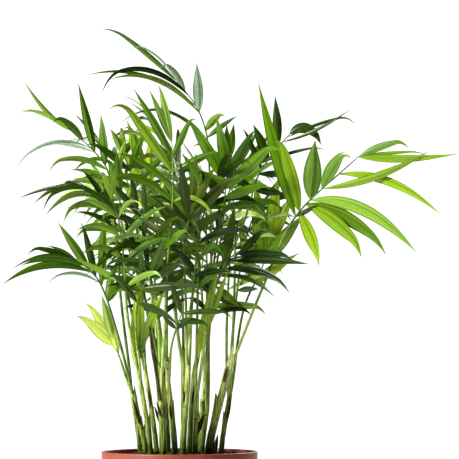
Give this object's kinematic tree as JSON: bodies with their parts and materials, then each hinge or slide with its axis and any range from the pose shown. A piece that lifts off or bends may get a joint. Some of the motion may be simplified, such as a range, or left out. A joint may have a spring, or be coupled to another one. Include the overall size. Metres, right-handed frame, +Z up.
{
  "type": "potted bamboo palm",
  "caption": "Bamboo palm in a round terracotta-coloured plastic pot, with a clump of slim green canes and arching feather fronds.",
  "frame": {"origin": "centre of the pot's flat underside, on the surface it stands on", "axes": "+Z up, +X to the right and +Y away from the viewer as the plant's front is seen in the picture"},
  "size_m": [0.4778, 0.358, 0.6166],
  "materials": {
    "pot": "matte terracotta-coloured plastic",
    "soil": "rough damp potting soil",
    "cane": "smooth green stem",
    "leaf_dark": "satin leaf",
    "leaf_mid": "satin leaf",
    "leaf_bright": "satin leaf",
    "leaf_lime": "satin young leaf"
  },
  "bodies": {
    "root": {"cane_a": "cane", "cane_b": "cane", "cane_c": "cane", "cane_d": "cane", "cane_e": "cane", "cane_f": "cane", "cane_g": "cane", "cane_h": "cane", "cane_i": "cane", "cane_j": "cane", "cane_k": "cane", "cane_l": "cane", "cane_m": "cane", "cane_n": "cane", "cane_o": "cane", "cane_p": "cane", "frond_back_1": "leaf_mid", "frond_back_10": "leaf_dark", "frond_back_11": "leaf_bright", "frond_back_2": "leaf_dark", "frond_back_3": "leaf_mid", "frond_back_4": "leaf_bright", "frond_back_5": "leaf_mid", "frond_back_6": "leaf_mid", "frond_back_7": "leaf_mid", "frond_back_8": "leaf_bright", "frond_back_9": "leaf_mid", "frond_behind_left": "leaf_mid", "frond_behind_right": "leaf_mid", "frond_centre": "leaf_dark", "frond_centre_left": "leaf_mid", "frond_front": "leaf_mid", "frond_front_1": "leaf_dark", "frond_front_2": "leaf_mid", "frond_front_3": "leaf_mid", "frond_front_4": "leaf_mid", "frond_front_5": "leaf_dark", "frond_inner_1": "leaf_dark", "frond_inner_2": "leaf_dark", "frond_inner_3": "leaf_mid", "frond_inner_4": "leaf_mid", "frond_lime_left": "leaf_lime", "frond_lime_right": "leaf_lime", "frond_low_left": "leaf_mid", "frond_low_middle": "leaf_dark", "frond_low_right": "leaf_dark", "frond_mid_left": "leaf_mid", "frond_mid_right": "leaf_mid", "frond_right": "leaf_bright", "frond_small_front": "leaf_dark", "frond_top": "leaf_mid", "frond_upper_left": "leaf_mid", "frond_upper_right": "leaf_dark", "frond_young_fan": "leaf_lime", "frond_young_spear_left": "leaf_lime", "frond_young_spear_right": "leaf_lime", "pot": "pot", "soil": "soil"}
  },
  "joints": []
}
